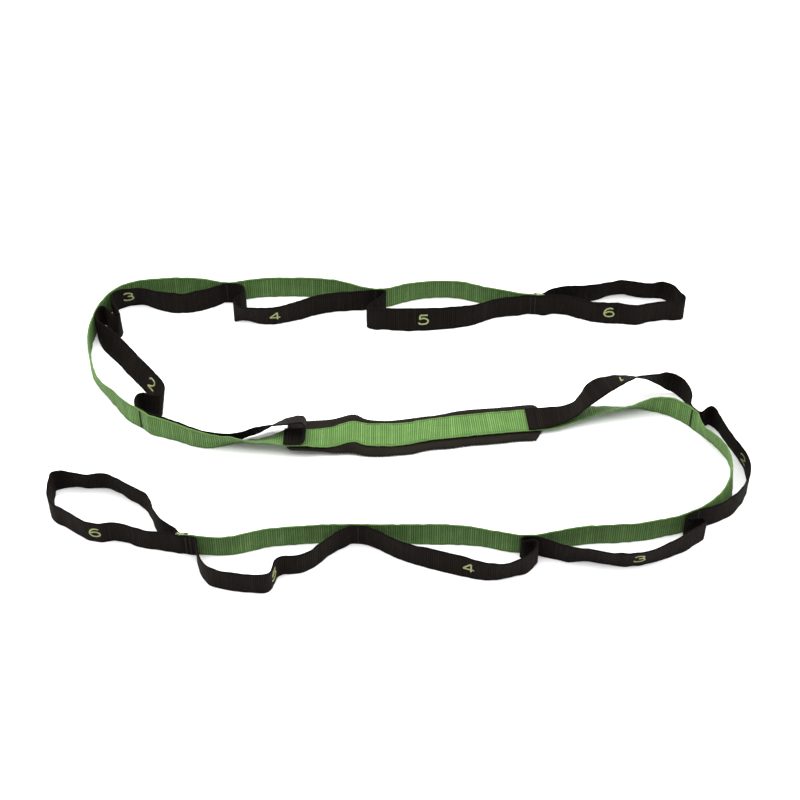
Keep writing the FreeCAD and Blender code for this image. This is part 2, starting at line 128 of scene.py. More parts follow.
BLACK = {
    "l1": [(-101, -13.4, 0, -24.3, 10), (-95, -13.5, 0, -24.3, 10), (-90, -13.5, 0, -24.3, 10),
           (-86.5, -13.5, 0, -24.3, 10.2), (-83.7, -13.2, 0, -24, 11.4),
           (-82.4, -12.2, 0, -22.9, 14.2), (-82, -10.8, 0, -21.7, 17.6),
           (-82.3, -9.2, 0, -20.9, 20.6), (-84.1, -7.7, 0, -20.5, 21.7),
           (-88, -6, 0, -20.5, 20.3), (-96, -3.4, 0, -20.6, 15.4), (-105, -1, 0, -18.9, 8.4),
           (-114, -2, 0, -15.3, 4), (-123, -5, 0, -12.7, 2), (-133, -8.6, 0, -11.7, 1),
           (-142, -12, 0, -10.6), (-152, -14.4, 0, -8.4), (-164, -15, 0, -5),
           (-173, -13.5, 0, -3), (-183, -10.2, 0, -2), (-192, -6, 0, -1), (-208, 0), (-219, 4.2)],
    "l2": [(-232, 15.5), (-232.4, 20.5), (-230.6, 25.5), (-226.8, 27.2), (-222, 25.2, 0, 2),
           (-217, 22.4, 1, 5), (-211.5, 22.8, 2, 8), (-209.2, 27.8, 3, 9), (-211.5, 35.5, 6, 8),
           (-220.5, 48.5, 7, 6), (-240, 72.5, 7, 6), (-254, 90, 7, 6), (-265.5, 102, 6, 5),
           (-272, 110, 3, 2), (-275.6, 116.5)],
    "l3": [(-272.2, 131.2), (-269.6, 131.2), (-266.6, 127.4, 1, 2), (-258.6, 117, 2, 3),
           (-255, 116.2, 1, 2), (-254, 119.4), (-257.5, 128.5), (-262, 137.5), (-264, 143.5),
           (-261.5, 148.8), (-255.5, 152.2, 0, -1), (-248, 154, 0, -3), (-238, 155, 0, -3),
           (-224, 150.2, 0, -1), (-210, 147, 0, 1), (-199, 146.2, 0, 0.5),
           (-185, 149.5, 0, 1.5), (-174, 153.1, 0, 1), (-167, 156.6)],
    "l4": [(-148, 158.4), (-143.2, 155.5), (-142.2, 151.3), (-145.8, 145.5), (-151.6, 138.6),
           (-151.5, 135), (-147.5, 133.8, 0, -5), (-140, 133, 0, -7), (-130, 131, 0, -4),
           (-120, 130.4, 0, -3), (-109, 132, 0, -2), (-100, 135, 0, -2), (-91, 138), (-82, 142),
           (-73, 145), (-60, 147.6), (-46, 149), (-33, 150)],
    "l5": [(-14.3, 150.6), (-13.3, 148.2), (-15.6, 145), (-28.6, 131.6), (-30.2, 128.4),
           (-27, 126.8, 0, 1), (-14, 126.8, 0, 3), (2, 126, 0, 5), (19, 126.3, 0, 5),
           (37, 127.3, 0, 4), (55, 129.5, 0, 3), (65, 131.2, 0, 2), (74, 134.3), (84, 138.7),
           (95, 141.4), (109, 143)],
    "l6": [(131, 143.4), (138, 144.6), (148, 144.7), (157, 142.3), (167, 138.5),
           (176, 135.8, 0, 1), (187, 134.4, 0, 2), (202, 133.6, 0, 2), (215, 131.6, 0, 1),
           (229, 135), (244, 137.2), (254, 137.3), (259.5, 138.6), (260.6, 142), (256.8, 148.4),
           (250.5, 158), (242, 163, 0, -3), (230, 162.4, 0, -5), (217, 164.3, 0, -5),
           (206, 167, 0, -6), (195, 165.2, 0, -6), (183, 161, 0, -4), (166, 157.6, 0, -2),
           (151, 156), (138, 152)],
    "r1": [(111.5, 11.6, 3, -25.2, 6.4), (117, 12.1, 3, -25.2, 6.4), (125, 13, 2, -25.3, 6.4),
           (137, 14.7, 1, -25, 5.6), (147, 16.8, 0, -24.5, 6), (154.5, 18.3, 1, -23.8, 9.6),
           (161, 21, 4, -23.8, 17), (167.5, 24.5, 7, -23.6, 24), (175, 27.6, 8.5, -23.3, 29),
           (184, 32, 5.5, -23, 27.5), (196, 39.2, 1, -21.5, 22), (210, 45.8, 0, -16.3, 15),
           (220, 48, 0, -13.3, 11), (228.5, 48.5, 0, -9.5, 7.5), (237, 49.6, 0, -2.5, 3),
           (246, 47.5), (252, 40.5), (255.3, 32.5), (256, 24.5), (254.2, 18)],
    "r2": [(263, 5.4), (266, 7.8), (269.5, 11), (272.5, 12.2), (275, 10), (279, 3, -2, -1),
           (283, -7, -3, -2), (288, -18, -3, -2), (293, -28.5, -3, -2), (297.3, -39, -2, -1),
           (299, -49), (298.6, -58), (295.6, -68), (290, -78, 0, 0), (281.5, -87.5, -1, 1),
           (272.5, -93.8), (264.5, -97.6), (257.5, -99.9)],
    "r3": [(241.6, -107), (239.4, -109), (241.5, -111.2), (248, -110.6), (254.2, -110.7),
           (256, -113.2), (252.5, -116.4), (246, -121), (237, -127.4), (223, -135, 0, -3),
           (206, -142, 0, -5), (190, -144.5, 0, -5), (173, -143, 0, -6), (157, -139.6, 0, -6),
           (141, -138.8, 0, -3), (126, -134, 0, -1), (116.5, -130.8)],
    "r4": [(102, -130.2), (100.4, -132.2), (102.6, -134), (108, -133.4), (113.2, -133.9),
           (114.6, -136.6), (111.8, -142), (105.3, -149), (96, -153, 0, -3), (87, -156, 0, -3),
           (78, -156.8, 0, -2), (66, -155.4), (54, -151.7, 0, 2), (42, -148.3, 0, 2),
           (25, -143.2, 0, 2), (8, -138), (-6, -131.6), (-17, -124.8), (-27, -120)],
    "r5": [(-45, -120.8), (-52, -125), (-60, -131.3), (-67, -138), (-74, -144.3),
           (-82, -148.4), (-91, -149.8), (-98.5, -150.4), (-102, -152.8), (-104.6, -160),
           (-107, -166.2), (-110.6, -168.6), (-118, -168.9), (-135, -167.2), (-148, -164.7),
           (-157, -161.2), (-163.2, -154.8), (-167, -145.5), (-169, -137), (-169.2, -132.3)],
    "r6": [(-184, -128.9), (-190, -127.2), (-202, -125), (-211, -123.8), (-219, -121.6),
           (-229, -117.6), (-240, -115.2), (-252, -116.6), (-262, -114.6), (-274, -107.2),
           (-284, -100.4), (-292, -95.8), (-295.8, -91), (-297, -80, -3, 0), (-297, -67, -2, 0),
           (-296.2, -62, -1, 0), (-293.6, -60.6), (-282, -59.6, 0, -3.2), (-266, -61.7, 0, -5.4),
           (-253, -60.8, 0, -3.6), (-241, -66, 0, -4.2), (-230, -73.7, 0, -3),
           (-221, -79.4, 0, -2), (-214.6, -85), (-210.2, -93), (-206.4, -103),
           (-202, -109.4), (-195.8, -115), (-188.6, -120.4)],
}

# Embroidered numbers: loop, digit, place on the loop's route, which side of the route it is on
# (+1 is the right of the outward direction), and its height over the webbing's centre line.
NUMBERS = {
    "l1": (1, -190, -7, 1, 0), "l2": (2, -220.5, 48.6, -1, 0.5), "l3": (3, -250, 154, 1, 2),
    "l4": (4, -114.3, 131, 1, 0), "l5": (5, 21.5, 126, 1, 0), "l6": (6, 191.3, 134, 1, 1.4),
    "r1": (1, 194.5, 38, -1, 0), "r2": (2, 296.3, -37, 1, 0), "r3": (3, 198.5, -143.5, -1, 1.6),
    "r4": (4, 57, -152.5, -1, 0.9), "r5": (5, -104.6, -160, -1, 0.8),
    "r6": (6, -255.8, -116, -1, 0.5),
}
# Each digit as strokes in a unit box, x to the right and y up; a round stroke is a smooth curve.
ROUND, SHARP = True, False
STROKES = {
    1: [(SHARP, [(0.27, 0.76), (0.55, 1), (0.55, 0)])],
    2: [(ROUND, [(0.08, 0.74), (0.2, 0.93), (0.5, 1), (0.82, 0.92), (0.9, 0.7), (0.72, 0.44),
                 (0.36, 0.2), (0.06, 0.02)]), (SHARP, [(0.06, 0.02), (0.96, 0.02)])],
    3: [(ROUND, [(0.08, 0.86), (0.3, 0.99), (0.64, 0.99), (0.87, 0.85), (0.8, 0.62), (0.42, 0.54)]),
        (ROUND, [(0.42, 0.54), (0.86, 0.46), (0.95, 0.23), (0.76, 0.03), (0.42, 0), (0.14, 0.06),
                 (0.03, 0.2)])],
    4: [(SHARP, [(0.72, 0), (0.72, 1), (0.02, 0.28), (1, 0.28)])],
    5: [(SHARP, [(0.9, 1), (0.2, 1), (0.14, 0.54)]),
        (ROUND, [(0.14, 0.54), (0.4, 0.65), (0.74, 0.6), (0.93, 0.36), (0.82, 0.1), (0.5, 0),
                 (0.2, 0.03), (0.04, 0.16)])],
    6: [(ROUND, [(0.86, 0.92), (0.6, 1), (0.3, 0.9), (0.1, 0.58), (0.07, 0.26), (0.28, 0.02),
                 (0.6, 0), (0.88, 0.12), (0.93, 0.34), (0.76, 0.55), (0.44, 0.58), (0.14, 0.4)])],
}


# ----------------------------------------------------------------------
# Paths
class Path:
    """A webbing's centre line: points, unit width vectors, and how far along each point is."""

    def __init__(self, points, widths, start=0.0):
        self.points, self.widths = points, widths
        self.along = start + run(points)

    @property
    def length(self):
        return self.along[-1] - self.along[0]

    def normals(self):
        return unit(np.cross(np.gradient(self.points, axis=0), self.widths))

    def part(self, s0, s1):
        """The stretch between two distances from the start."""
        s = self.along - self.along[0]
        inside = s[(s > s0 + SAME) & (s < s1 - SAME)]
        return self.at(np.concatenate([[s0], inside, [s1]]))

    def then(self, other):
        """This path and the one that goes on from its end."""
        return Path(np.vstack([self.points, other.points[1:]]),
                    np.vstack([self.widths, other.widths[1:]]), self.along[0])

    def starting(self, start):
        return Path(self.points, self.widths, start)

    def at(self, distances):
        s = self.along - self.along[0]
        points, widths = (columns(distances, s, v) for v in (self.points, self.widths))
        return Path(points, unit(widths), self.along[0] + distances[0])

    def back(self):
        return Path(self.points[::-1], self.widths[::-1])


def unit(v):
    return v / np.maximum(np.linalg.norm(v, axis=-1, keepdims=True), 1e-9)


def run(points):
    """How far along each point is."""
    return np.concatenate([[0.0], np.cumsum(np.linalg.norm(np.diff(points, axis=0), axis=1))])


def columns(x, known, values):
    """Each column of values, which belong to the places known, at the places x."""
    return np.stack([np.interp(x, known, v) for v in values.T], 1)


def tack(name):
    """The hinge point, the outward direction and the side on which the black webbing lies."""
    x, y, deg = TACKS[name]
    h = np.array([math.cos(math.radians(deg)), math.sin(math.radians(deg)), 0.0])
    side = np.array([h[1], -h[0], 0.0]) if name[0] == "l" else np.array([-h[1], h[0], 0.0])
    return np.array([x, y, 0.0]), h, side


def station(s, width=WEB_W, thick=WEB_T):
    """The centre point and the width vector at one station of a route."""
    lx, ly = s[2:4] if len(s) > 3 else (0.0, 0.0)
    lift = s[4] if len(s) > 4 else 0.0
    lz = math.sqrt(max(width ** 2 - lx ** 2 - ly ** 2, 0.0))
    z = lift + lz / 2 + thick / 2 * math.sqrt(1 - (lz / width) ** 2)
    return np.array([s[0], s[1], z]), np.array([lx, ly, lz])


def upright(p):
    """The same for a webbing that stands on edge at p."""
    return np.array([p[0], p[1], HALF_W]), np.array([0.0, 0.0, WEB_W])


def between(name_in, route, name_out, offset):
    """Stations of a webbing from one tack's hinge line to the next."""
    out = []
    if name_in:
        p, h, side = tack(name_in)
        out += [upright(p + h * g + side * offset) for g in (0.0, ZONE)]
    out += [station(s) for s in route]
    if name_out:
        p, h, side = tack(name_out)
        out += [upright(p - h * g + side * offset) for g in (ZONE, 0.0)]
    return out


def hermite(values, slopes, spans, i, u):
    """Points on the cubic between values i and i + 1, for u from 0 to 1."""
    d = spans[i]
    h = (2*u**3 - 3*u*u + 1, u**3 - 2*u*u + u, 3*u*u - 2*u**3, u**3 - u*u)
    return (values[i] * h[0][:, None] + slopes[i] * d * h[1][:, None]
            + values[i + 1] * h[2][:, None] + slopes[i + 1] * d * h[3][:, None])


def smooth(stations, straight=(False, False), soften=0.7):
    """One even, rounded path through the stations, with a section every STEP."""
    pts = np.array([s[0] for s in stations])
    wid = np.array([s[1] for s in stations])
    spans = np.linalg.norm(np.diff(pts, axis=0), axis=1)
    hops = np.diff(pts, axis=0) / spans[:, None]
    turns = np.diff(wid, axis=0) / spans[:, None]
    slope_p, slope_w = np.zeros_like(pts), np.zeros_like(wid)
    for i in range(len(pts)):
        if i == 0 or i == len(pts) - 1:
            k = min(i, len(spans) - 1)
            slope_p[i], slope_w[i] = hops[k], 0.0
            continue
        a, b = 1 / spans[i - 1], 1 / spans[i]
        slope_p[i] = unit(hops[i - 1] * a + hops[i] * b)
        slope_w[i] = (turns[i - 1] * a + turns[i] * b) / (a + b)
    if straight[0]:
        slope_p[:2] = hops[0]
    if straight[1]:
        slope_p[-2:] = hops[-1]
    fine_p, fine_w = [], []
    for i, d in enumerate(spans):
        u = np.arange(0, 1, FINE / d)
        fine_p.append(hermite(pts, slope_p, spans, i, u))
        fine_w.append(hermite(wid, slope_w, spans, i, u))
    fine = Path(np.vstack(fine_p + [pts[-1:]]), unit(np.vstack(fine_w + [wid[-1:]])))
    even = fine.at(np.linspace(0, fine.length, max(2, round(fine.length / STEP) + 1)))
    return Path(blur(even.points, soften), unit(blur(even.widths, soften * 2)))


def blur(values, sigma_mm):
    """Rounds off what is shorter than sigma_mm, and keeps the ends where they are."""
    half = max(1, int(3 * sigma_mm / STEP))
    k = np.exp(-0.5 * (np.arange(-half, half + 1) * STEP / sigma_mm) ** 2)
    k /= k.sum()
    out = np.empty_like(values)
    for c in range(values.shape[1]):
        v = values[:, c]
        # Odd reflection about each end leaves the end points unmoved.
        start = 2 * v[0] - v[half:0:-1] if len(v) > half else np.full(half, v[0])
        end = 2 * v[-1] - v[-2:-half - 2:-1] if len(v) > half else np.full(half, v[-1])
        out[:, c] = np.convolve(np.concatenate([start, v, end]), k, "valid")
    return out


# ----------------------------------------------------------------------
# Meshes
def new_piece(name, verts, faces, material, slot, **attributes):
    """A mesh object from points in millimetres, with its material; its slot argument is not used."""
    mesh = bpy.data.meshes.new(name)
    mesh.from_pydata((np.asarray(verts) * MM).tolist(), [], [list(f) for f in faces])
    mesh.polygons.foreach_set("use_smooth", [True] * len(mesh.polygons))
    for key, values in attributes.items():
        layer = mesh.attributes.new(key, "FLOAT", "POINT")
        layer.data.foreach_set("value", np.asarray(values, np.float32))
    mesh.materials.append(material)
    mesh.validate()
    obj = bpy.data.objects.new(name, mesh)
    bpy.context.scene.collection.objects.link(obj)
    return obj


def tube_faces(rings, around, first=0):
    """Quads of a closed tube of that many rings, each ring clockwise seen from the tube's end."""
    i, j = np.meshgrid(np.arange(rings - 1), np.arange(around), indexing="ij")
    a = first + i * around + j
    b = first + i * around + (j + 1) % around
    quads = np.stack([a, a + around, b + around, b], -1).reshape(-1, 4).tolist()
    quads.append([first + k for k in range(around)])
    quads.append([first + (rings - 1) * around + k for k in range(around)][::-1])
    return quads


def wander(x, seed, wavelength):
    """A smooth wave of about unit size, the sum of five, and the same in every run."""
    rng = np.random.default_rng(seed)
    total = np.zeros_like(x, dtype=float)
    for _ in range(5):
        total += np.sin(TURN * x / (wavelength * rng.uniform(0.6, 1.9)) + rng.uniform(0, 6.3))
    return total / 2.2


# Half of the webbing's cross-section: distance from the centre line, height of the face over the
# mid-plane, and how much of the rib shows there.  The outermost strip is the woven edge.
SECTION = [(HALF_W, 0.0, 0), (12.55, 0.42, 0), (12.0, 0.66, 0.1), (11.2, 0.70, 0.2),
           (10.6, 0.56, 0.75), (9.8, 0.55, 1), (5.0, 0.56, 1), (0.0, 0.57, 1)]
RIB_STRENGTH = np.random.default_rng(5).uniform(0.5, 1.0, 4096)    # one share for each rib
TILT, TILT_WAVE = 0.18, 17        # how far one edge sways up as the other sways down
CUP, CUP_WAVE = 0.12, 9           # how far both edges sway together
SCALLOP = 0.3                     # how far each rib pushes the woven edge out


def webbing(name, path, material, slot, seed, rib):
    """A ribbed strap along the path, with rounded woven edges."""
    left = [(-s, h, r) for s, h, r in SECTION[:-1]]
    face = np.array(left + SECTION[::-1])              # from one edge to the other
    across = np.concatenate([face[:, 0], face[-2:0:-1, 0]])
    height = np.concatenate([face[:, 1], -face[-2:0:-1, 1]])
    share = np.concatenate([face[:, 2], -face[-2:0:-1, 2]])
    n, w, s = path.normals(), path.widths, path.along
    crest = (0.5 + 0.5 * np.cos(TURN * s / RIB_PITCH)) ** 0.6
    rib_number = np.floor(s / RIB_PITCH + 0.5).astype(int)
    ribs = rib * crest * RIB_STRENGTH[rib_number % len(RIB_STRENGTH)]
    # The strap isn't quite flat: its two edges wander a little on their own.
    edge = across / HALF_W
    sway = TILT * wander(s, seed, TILT_WAVE)[:, None] * edge[None, :]
    sway += CUP * wander(s, seed + 1, CUP_WAVE)[:, None] * (edge ** 2)[None, :]
    lift = height[None, :] + share[None, :] * ribs[:, None] + sway
    wide = across[None, :] + (crest - 0.5)[:, None] * SCALLOP * (edge ** 5)[None, :]
    verts = (path.points[:, None, :] + wide[..., None] * w[:, None, :]
             + lift[..., None] * n[:, None, :])
    rings, around = verts.shape[:2]
    return new_piece(name, verts.reshape(-1, 3), tube_faces(rings, around), material, slot,
                     along=np.repeat(s, around), across=np.tile(across, rings))


def capsule(a, b, radius, flat_dir, flat=0.7, around=6):
    """Rings of one short stitch from a to b, rounded at its ends and flattened along flat_dir."""
    axis = unit(b - a)
    length = np.linalg.norm(b - a)
    side = unit(np.cross(axis, flat_dir))
    # Its thickness along the way, as shares of its length and radius.
    ts = np.array([0.0, 0.08, 0.25, 0.5, 0.75, 0.92, 1.0])
    size = np.array([0.15, 0.7, 0.96, 1.0, 0.96, 0.7, 0.15]) * radius
    arch = np.sin(np.pi * ts) * radius * 0.5
    phi = np.arange(around) * TURN / around
    c = a + axis * (ts * length)[:, None] + flat_dir * arch[:, None]
    return (c[:, None, :] + side * (np.cos(phi)[None, :] * size[:, None])[..., None]
            + flat_dir * (np.sin(phi)[None, :] * size[:, None] * flat)[..., None])


def joined(name, tubes, material, slot):
    """Closed tubes as one piece; each is an array of rings of points."""
    faces, count = [], 0
    for rings in tubes:
        faces += tube_faces(rings.shape[0], rings.shape[1], count)
        count += rings.shape[0] * rings.shape[1]
    verts = np.vstack([rings.reshape(-1, 3) for rings in tubes])
    return new_piece(name, verts, faces, material, slot)


def stitches(name, spans, radius, material, slot):
    """Many short stitches as one piece; spans are (start, end, outward normal)."""
    return joined(name, [capsule(a, b, radius, out) for a, b, out in spans], material, slot)


def bar_spans(centre, along, out, height=BAR_H, reach=0.75, pitch=0.5):
    """The zigzag of a stitched bar across the webbing, on the face whose outward side is out."""
    spans = []
    count = int(height / pitch)
    for k in range(count):
        z = HALF_W - height / 2 + k * pitch
        sign = 1 if k % 2 else -1
        a = centre + along * (reach * sign) + np.array([0, 0, z])
        b = centre - along * (reach * sign) + np.array([0, 0, z + pitch])
        spans.append((a, b, out))
    return spans


def stroke_line(is_round, points):
    """Evenly spaced points along one stroke of a digit, and how far along each one is."""
    p = np.array([((x - 0.5) * (DIGIT_W - STROKE), (y - 0.5) * (DIGIT_H - STROKE))
                  for x, y in points])
    if is_round:
        d = run(p)
        slope = np.gradient(p, d, axis=0)
        fine = []
        for i in range(len(p) - 1):
            u = np.linspace(0, 1, 12, endpoint=False)
            fine.append(hermite(p, slope, np.diff(d), i, u))
        p = np.vstack(fine + [p[-1:]])
    d = run(p)
    s = np.linspace(0, d[-1], max(6, int(d[-1] / (SATIN_PITCH / 4))))
    return columns(s, d, p), s


def digit(name, value, path, x, y, sign, rise, material, slot):
    """A satin-stitched number that follows the face of the webbing it is sewn on."""
    flat = np.hypot(path.points[:, 0] - x, path.points[:, 1] - y)
    centre = path.along[np.argmin(flat)] - path.along[0]
    q = np.linspace(-1, 1, 9)
    strokes, tubes = [], []
    for is_round, points in STROKES[value]:
        # A sharp stroke is cut at its corners, as embroidery is.
        cuts = [points] if is_round else [points[i:i + 2] for i in range(len(points) - 1)]
        strokes += [(is_round, cut) for cut in cuts]
    for is_round, points in strokes:
        line, s = stroke_line(is_round, points)
        t = unit(np.gradient(line, axis=0))
        normal = np.stack([-t[:, 1], t[:, 0]], 1)
        end = np.minimum(s, s[-1] - s)
        half = STROKE / 2 * np.sqrt(np.clip(1 - (1 - np.clip(end / ROUND_END, 0, 1)) ** 2, 0.05, 1))
        thread = SATIN * np.cos(TURN * s / SATIN_PITCH)
        ring_xy = line[:, None, :] + normal[:, None, :] * (half[:, None] * q[None, :])[..., None]
        top = RELIEF * np.sqrt(1 - 0.93 * q[None, :] ** 2) * (half / half.max())[:, None]
        top = top + thread[:, None] * (1 - q[None, :] ** 2)
        # The underside goes back across through the middle, inside the webbing.
        low = ring_xy[:, [-1, len(q) // 2, 0]]
        xy = np.concatenate([ring_xy, low], 1)
        hs = np.concatenate([top, np.full(low.shape[:2], -SUNK)], 1)
        p, w, n = sample(path, centre + sign * xy[..., 0].ravel())
        height = (WEB_T / 2 + hs.ravel())[:, None]
        verts = p + w * (xy[..., 1].ravel() + rise)[:, None] + n * sign * height
        tubes.append(verts.reshape(*xy.shape[:2], 3))
    return joined(name, tubes, material, slot)


def sample(path, along):
    """Points, width vectors and normals at distances from the path's start, in any order."""
    s = path.along - path.along[0]
    p, w, n = (columns(along, s, v) for v in (path.points, path.widths, path.normals()))
    return p, unit(w), unit(n)


def tube(points, radius, around=6):
    """Rings of a thin thread along a few points, tapered at its free end."""
    t = unit(np.gradient(points, axis=0))
    side = unit(np.cross(t, [0.3, 0.2, 1.0]))
    other = np.cross(side, t)
    size = radius * np.linspace(1.0, 0.55, len(points))[:, None, None]
    phi = np.arange(around) * TURN / around
    return (points[:, None, :] + side[:, None, :] * np.cos(phi)[None, :, None] * size
            + other[:, None, :] * np.sin(phi)[None, :, None] * size)


def frayed(name, base, h, side, material, slot, seed):
    """Loose yarns that stand out of the cut end of the green webbing, most at its top edge."""
    rng = np.random.default_rng(seed)
    tubes = []
    # Height, length and lift of each yarn: one row down the cut, and a bunch at its top edge.
    low = [(z, 1.0, 0.0) for z in np.arange(1.2, WEB_W - 1.0, 0.42)]
    top = [(WEB_W - 0.5, 1.6, rng.uniform(0.2, 2.4)) for _ in range(26)]
    for z, length, lift in low + top:
        reach = length * rng.uniform(1.0, 3.4)
        lean = rng.uniform(-0.6, 0.6) * (1 + lift)
        rise = rng.uniform(-0.6, 0.6) + lift
        back = rng.uniform(0.0, 4.0) if lift else 0.5
        u = np.linspace(0, 1, 6)[:, None]
        pts = (base + side * rng.uniform(-0.4, 0.4) + np.array([0, 0, z]) + h * (u * reach - back)
               + side * lean * u ** 2 + np.array([0, 0, 1.0]) * rise * u ** 1.5)
        tubes.append(tube(pts, rng.uniform(0.17, 0.27)))
    return joined(name, tubes, material, slot)


# The pad's outline and padding
LEFT_CORNER, RIGHT_CORNER = 6.0, 7.0    # corner radii, the right one on the far side
SLANT = 10.0, 6.5                 # the near right corner is cut off: how far across and along
END_ROUND = 2.2                   # length over which its ends round off
SQUARE = 5.5                      # power of its section: 2 is an ellipse, more is squarer
EDGE_SLACK = 0.4, 0.25            # what is left free beside and over it for its unevenness
EDGE_WANDER, PUCKER, PUCKER_WAVE = 0.35, 0.16, 3.1    # its outline's unevenness
PUFF, PUFF_AT, PUFF_W = 0.45, 16.3, 2.4      # swelling beside the webbing: height, place, width
CREASE, CREASE_AT, CREASE_W = 0.35, 12.9, 1.1    # dip at the webbing's edge
BUMPY, BUMPY_WAVE = 0.12, 14      # slow unevenness of its top


def corner_cut(radius, distance):
    """How far a round corner cuts into the outline at a distance from the end."""
    inward = np.clip(radius - distance, 0, radius)
    return radius - np.sqrt(np.clip(radius ** 2 - inward ** 2, 0, None))


def bell(x, centre, width):
    return np.exp(-((x - centre) / width) ** 2)


def cushion(name, path, material, slot):
    """The pad: a soft slab with rounded corners and edges, puffed out beside the webbing."""
    s = path.along - path.along[0]
    n, w = path.normals(), path.widths
    n = n * np.sign(n[:, 2:3])
    to_right = s[-1] - s
    left = corner_cut(LEFT_CORNER, s)
    cut_near = np.maximum(left, SLANT[0] * np.clip(1 - to_right / SLANT[1], 0, 1))
    cut_far = np.maximum(left, corner_cut(RIGHT_CORNER, to_right))
    end = np.minimum(s, to_right)
    thin = np.sqrt(np.clip(1 - np.clip(1 - end / END_ROUND, 0, 1) ** 2, 0.02, 1))
    around = 96
    phi = -np.arange(around) * TURN / around
    cx = np.sign(np.cos(phi)) * np.abs(np.cos(phi)) ** (2 / SQUARE)
    cz = np.sign(np.sin(phi)) * np.abs(np.sin(phi)) ** (2 / SQUARE)
    near = cx[None, :] > 0
    edge = np.where(near, wander(s, 61, 30)[:, None], wander(s, 62, 34)[:, None])
    half = PAD_W / 2 - EDGE_SLACK[0] - np.where(near, cut_near[:, None], cut_far[:, None])
    half = half + EDGE_WANDER * edge + PUCKER * np.sin(TURN * s / PUCKER_WAVE)[:, None]
    across = cx[None, :] * half
    out = np.abs(across)
    puff = PUFF * bell(out, PUFF_AT, PUFF_W) - CREASE * bell(out, CREASE_AT, CREASE_W)
    puff = puff + BUMPY * wander(s, 63, BUMPY_WAVE)[:, None] * out / (PAD_W / 2)
    height = (PAD_T / 2 - EDGE_SLACK[1]) * cz[None, :] * thin[:, None]
    height = height + puff * (cz[None, :] > 0.3)       # only the top is uneven
    verts = (path.points[:, None, :] + across[..., None] * w[:, None, :]
             + height[..., None] * n[:, None, :])
    return new_piece(name, verts.reshape(-1, 3), tube_faces(len(s), around), material, slot,
                     along=np.repeat(s, around), across=across.ravel())


# ----------------------------------------------------------------------
# Materials
class Graph:
    """A material's node tree, with short ways to add arithmetic, noise and mixes."""

    def __init__(self, name):
        self.material = bpy.data.materials.new(name)
        self.material.use_nodes = True
        self.tree = self.material.node_tree
        self.shader = self.tree.nodes["Principled BSDF"]

    def join(self, value, socket):
        if isinstance(value, bpy.types.NodeSocket):
            self.tree.links.new(value, socket)
        else:
            socket.default_value = value

    def math(self, operation, *values):
        node = self.tree.nodes.new("ShaderNodeMath")
        node.operation = operation
        for value, socket in zip(values, node.inputs):
            self.join(value, socket)
        return node.outputs[0]

    def times(self, a, b):
        return self.math("MULTIPLY", a, b)

    def wave(self, distance, pitch):
        """A cosine that repeats every pitch millimetres."""
        return self.math("COSINE", self.times(distance, TURN / pitch))

    def attribute(self, name):
        node = self.tree.nodes.new("ShaderNodeAttribute")
        node.attribute_name = name
        return node.outputs["Fac"]

    def vector(self, x, y, z=0.0):
        node = self.tree.nodes.new("ShaderNodeCombineXYZ")
        for value, socket in zip((x, y, z), node.inputs):
            self.join(value, socket)
        return node.outputs[0]

    def noise(self, where, scale=1.0, detail=2.0, rough=0.5):
        node = self.tree.nodes.new("ShaderNodeTexNoise")
        self.join(where, node.inputs["Vector"])
        node.inputs["Scale"].default_value = scale
        node.inputs["Detail"].default_value = detail
        node.inputs["Roughness"].default_value = rough
        return node.outputs["Fac"]

    def random(self, number):
        node = self.tree.nodes.new("ShaderNodeTexWhiteNoise")
        node.noise_dimensions = "1D"
        self.join(number, node.inputs["W"])
        return node.outputs["Value"]

    def ramp(self, value, low, high, to_low=0.0, to_high=1.0):
        node = self.tree.nodes.new("ShaderNodeMapRange")
        node.interpolation_type = "SMOOTHSTEP"
        for v, socket in zip((value, low, high, to_low, to_high), node.inputs):
            self.join(v, socket)
        return node.outputs[0]

    def mix(self, share, a, b):
        node = self.tree.nodes.new("ShaderNodeMix")
        node.data_type = "RGBA"
        self.join(share, node.inputs["Factor"])
        for value, socket in ((a, node.inputs[6]), (b, node.inputs[7])):
            self.join((*value, 1.0) if isinstance(value, tuple) else value, socket)
        return node.outputs[2]

    def finish(self, colour, height, distance, rough, sheen, sheen_rough, specular, tint):
        """The shader's inputs; distance is the bump's height in metres."""
        bump = self.tree.nodes.new("ShaderNodeBump")
        bump.inputs["Strength"].default_value = 1.0
        bump.inputs["Distance"].default_value = distance
        self.join(height, bump.inputs["Height"])
        self.join(bump.outputs[0], self.shader.inputs["Normal"])
        self.join(colour, self.shader.inputs["Base Color"])
        self.join(rough, self.shader.inputs["Roughness"])
        self.shader.inputs["Sheen Weight"].default_value = sheen
        self.shader.inputs["Sheen Roughness"].default_value = sheen_rough
        self.shader.inputs["Sheen Tint"].default_value = (*tint, 1.0)
        self.shader.inputs["Specular IOR Level"].default_value = specular
        return self.material


WARP_PITCH = 0.85                 # spacing of the threads along the webbing
KNIT_PITCH = 1.3, 1.1             # spacing of the knit's stitches along and across the pad
WAVE_SCALE = 314                  # scale at which a wave texture repeats every millimetre


